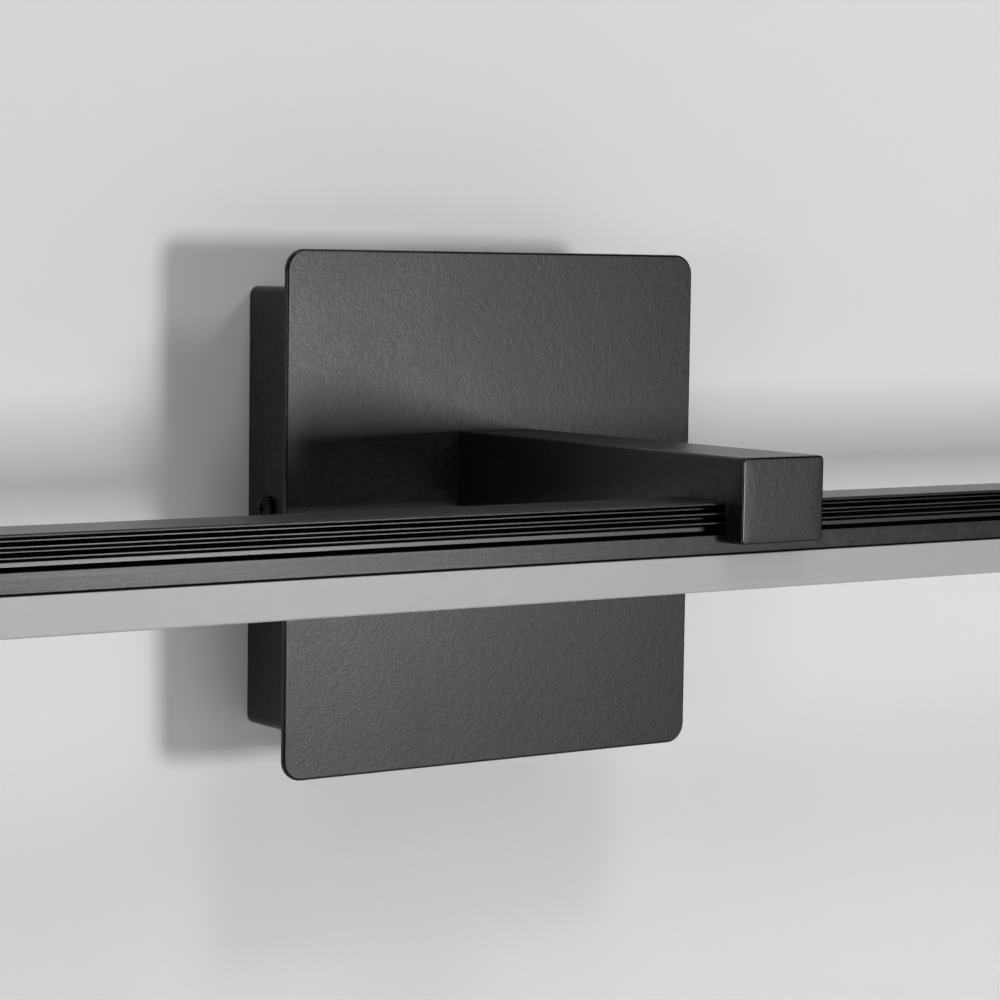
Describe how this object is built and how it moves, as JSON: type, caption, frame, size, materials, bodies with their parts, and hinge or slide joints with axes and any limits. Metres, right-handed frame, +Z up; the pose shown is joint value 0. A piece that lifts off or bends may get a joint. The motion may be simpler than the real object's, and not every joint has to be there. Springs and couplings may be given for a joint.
{
  "type": "vanity light bar",
  "caption": "Slim wall-mounted vanity light: a square canopy and plate carry one square arm, notched over a ridged bar with a frosted diffuser underneath.",
  "frame": {"origin": "on the wall's surface, at the centre of the strap's two slots and of the canopy's open back", "axes": "+X along the bar, +Y into the wall, +Z up"},
  "size_m": [0.6, 0.14, 0.125],
  "materials": {
    "black_powder": "fine-textured matte black powder coat",
    "black_anodised": "black anodised, satin",
    "black_plastic": "moulded, matte black",
    "black_nylon": "moulded nylon, matte black",
    "black_screw": "black oxide, satin",
    "zinc_steel": "bright zinc plate",
    "bright_aluminium": "as machined",
    "frosted_acrylic": "extruded opal acrylic, satin",
    "white_board": "white solder mask on aluminium",
    "phosphor": "silicone over phosphor",
    "grey_tape": "soft, matte",
    "white_nylon": "moulded, satin white",
    "green_screw": "green dyed",
    "green_board": "green solder mask",
    "component_plastic": "moulded",
    "tinned_copper": "tinned",
    "white_lead": "PVC insulation, white",
    "black_lead": "PVC insulation, black",
    "green_lead": "PVC insulation, green",
    "red_lead": "PVC insulation, red"
  },
  "bodies": {
    "root": {"front_plate": "black_powder", "canopy_box": "black_powder", "plate_studs": "zinc_steel", "stud_nuts": "zinc_steel", "arm_tube": "black_powder", "arm_end_cap": "black_powder", "arm_root_block": "bright_aluminium", "arm_screws": "zinc_steel", "arm_lock_washers": "zinc_steel", "arm_bush": "black_nylon", "saddle_block": "bright_aluminium", "bar_extrusion": "black_anodised", "bar_screws": "zinc_steel", "bar_bush": "black_nylon", "end_cap_left": "black_plastic", "end_cap_right": "black_plastic", "led_board": "white_board", "thermal_tape": "grey_tape", "board_connector": "white_nylon", "led_chips": "phosphor", "diffuser": "frosted_acrylic", "wall_bracket": "zinc_steel", "side_screws": "black_screw", "ground_screw": "green_screw", "ground_ring": "tinned_copper", "driver_pad": "grey_tape", "driver_case": "white_nylon", "driver_lid": "white_nylon", "driver_board": "green_board", "driver_components": "component_plastic", "terminal_pad": "grey_tape", "terminal_block": "white_nylon", "terminal_screws": "zinc_steel", "lead_neutral": "white_lead", "lead_line": "black_lead", "lead_ground": "green_lead", "lead_negative": "black_lead", "lead_positive": "red_lead"}
  },
  "joints": []
}
